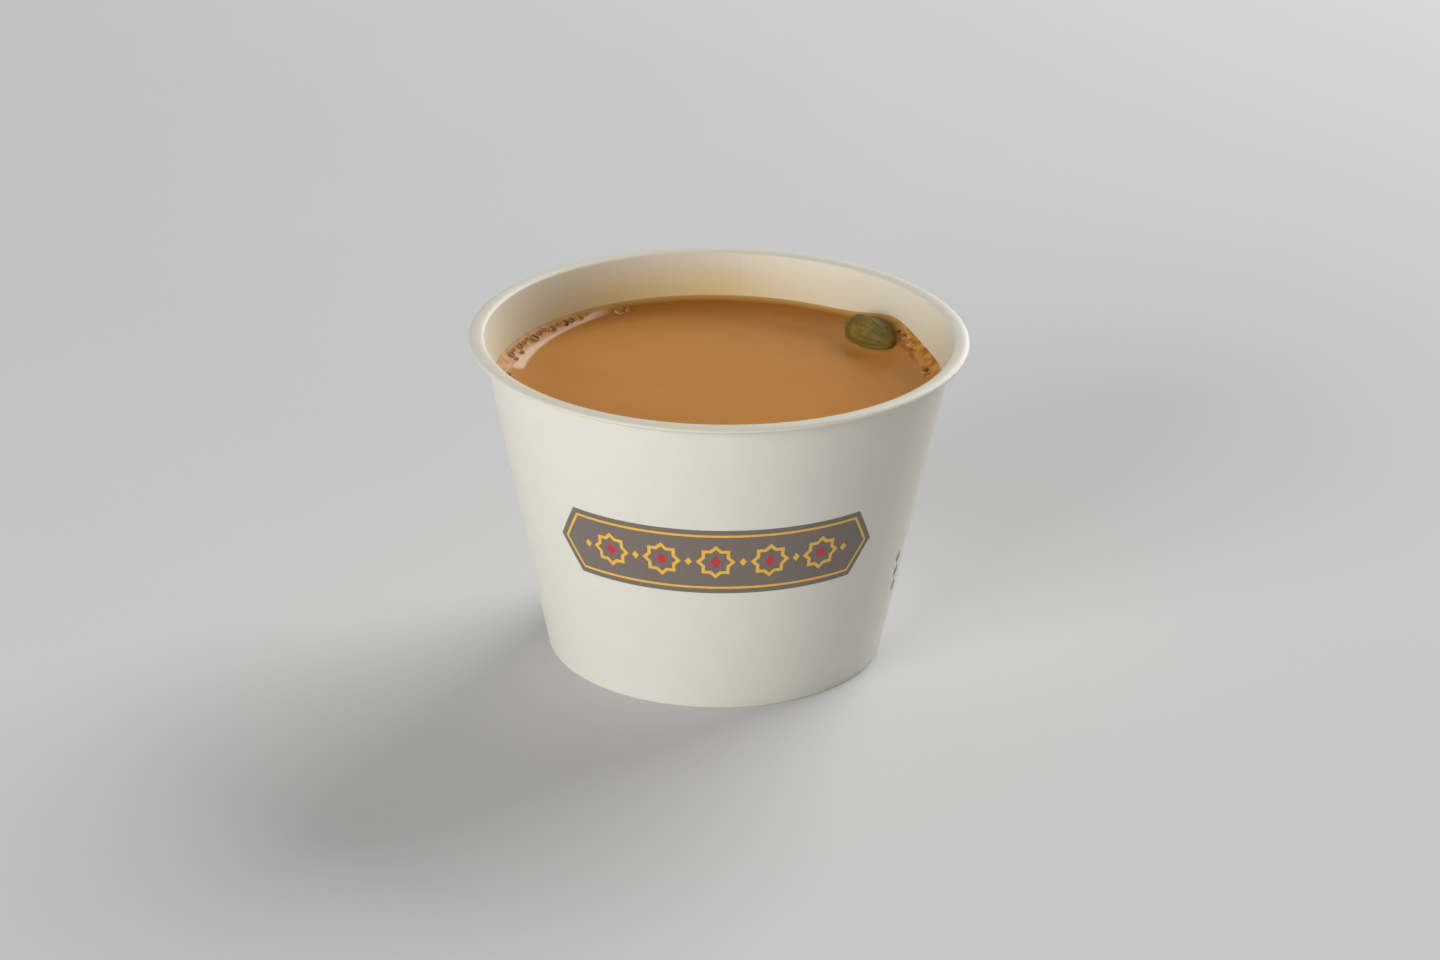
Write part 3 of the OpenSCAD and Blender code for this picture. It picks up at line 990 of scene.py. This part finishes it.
# %% Seeds and their core
def dry_finish(name, dark, pale, size_mm, rough):
    """A dry, wrinkled plant surface in two tones."""
    material, shader = new_finish(name)
    wrinkles = noise(material, object_place(material), size_mm, 4, 0.6)
    link(material, ramp(material, wrinkles, (0.3, dark), (0.7, pale)), shader, "Base Color")
    link(material, spread(material, wrinkles, *rough), shader, "Roughness")
    add_bump(material, shader, wrinkles, HUSK_RELIEF)
    return material


inside = {
    "pod_core": dry_finish("pod_pith", paint(196, 178, 132), paint(216, 200, 156), 0.6, (0.7, 0.85)),
    "pod_seeds": dry_finish("seed_coat", paint(44, 30, 18), paint(78, 54, 34), 0.3, (0.5, 0.7)),
}
for node, material in inside.items():
    frame["nodes"][node].data.materials.clear()
    frame["nodes"][node].data.materials.append(material)
    print(material.name, "on", node)

# %% [markdown]
# ## Floor and light
# The cup stands on a pale sweep. A large soft light from behind on the right throws its shadow
# towards the front left, and another from the front left lights the wall on that side. The sky
# fills the rest, at a level where a colour renders about as it is written.

# %% The floor
FLOOR_R = 6000
FLOOR_T = 2


def floor_disc():
    """A flat disc with its top at the foot of the cup."""
    a = np.linspace(0, 2 * math.pi, 96, endpoint=False)
    r = np.array([0, 0.02, 0.1, 0.4, 1, 1, 0])[:, None] * FLOOR_R
    z = np.array([0, 0, 0, 0, 0, -FLOOR_T, -FLOOR_T])[:, None]
    return np.stack([r * np.cos(a), r * np.sin(a), z + 0 * a], -1)


floor = make_skin("floor", [floor_disc()])
sweep, sweep_shader = new_finish("pale_sweep", Specular_IOR_Level=0.2)
grain = noise(sweep, object_place(sweep), 60.0, 4)
link(sweep, ramp(sweep, grain, (0.3, paint(206, 206, 206)), (0.7, paint(207, 207, 207))),
     sweep_shader, "Base Color")
link(sweep, spread(sweep, grain, 0.75, 0.85), sweep_shader, "Roughness")
floor.data.materials.append(sweep)


# %% Lights
def soft_light(name, azimuth, elevation, distance, width, height, watts):
    """A white area light that faces the cup; azimuth from +X towards +Y, in degrees."""
    a, e = math.radians(azimuth), math.radians(elevation)
    away = Vector((math.cos(a) * math.cos(e), math.sin(a) * math.cos(e), math.sin(e)))
    lamp = bpy.data.lights.new(name, "AREA")
    lamp.shape, lamp.size, lamp.size_y, lamp.energy = "RECTANGLE", width, height, watts
    light = bpy.data.objects.new(name, lamp)
    light.location = away * distance + Vector((0, 0, cup_h / 2 * MM))
    light.rotation_mode = "QUATERNION"
    light.rotation_quaternion = away.to_track_quat("Z", "Y")
    bpy.context.scene.collection.objects.link(light)
    print(f"{name}: {watts} W, {width} m by {height} m, {distance} m away")


soft_light("key_back_right", azimuth=52, elevation=26, distance=2.0,
           width=1.46, height=1.46, watts=45.5)
soft_light("fill_front_left", azimuth=-128, elevation=16, distance=1.0,
           width=0.6, height=0.5, watts=7.6)

SKY = 0.24
world = bpy.data.worlds.new("studio")
world.use_nodes = True
sky = world.node_tree.nodes["Background"]
sky.inputs["Color"].default_value = (1, 1, 1, 1)
sky.inputs["Strength"].default_value = SKY
bpy.context.scene.world = world
bpy.context.scene.view_settings.view_transform = "Standard"

# %% [markdown]
# ## The camera
# The ellipses of the rim and the foot give the angle of view: 23.5 degrees above the table from
# three quarters of a metre, with the picture turned by under a degree. A constraint could keep the
# camera on its target. A rotation written once does the same and leaves nothing live in the scene.

# %% Camera
CAMERA_UP = 23.52
CAMERA_AWAY = 754
CAMERA_LENS = 103.24
CAMERA_ROLL = 0.88
PIVOT = Vector((0, 0, 30))
AIM = Vector((0.55, 0, 31.09))

up = math.radians(CAMERA_UP)
back = Vector((0, -math.cos(up), math.sin(up)))
camera_data = bpy.data.cameras.new("camera")
camera_data.lens = CAMERA_LENS
camera_data.sensor_width = 36
camera = bpy.data.objects.new("camera", camera_data)
camera.location = (PIVOT + back * CAMERA_AWAY) * MM
facing = (AIM * MM - camera.location).to_track_quat("-Z", "Y").to_matrix()
turned = facing @ Matrix.Rotation(math.radians(CAMERA_ROLL), 3, "Z")
camera.rotation_mode = "QUATERNION"
camera.rotation_quaternion = turned.to_quaternion()
camera_data.clip_start, camera_data.clip_end = 0.05, 50
bpy.context.scene.collection.objects.link(camera)
bpy.context.scene.camera = camera
print(f"camera {CAMERA_AWAY} mm away, {CAMERA_UP} degrees up, lens {CAMERA_LENS} mm")
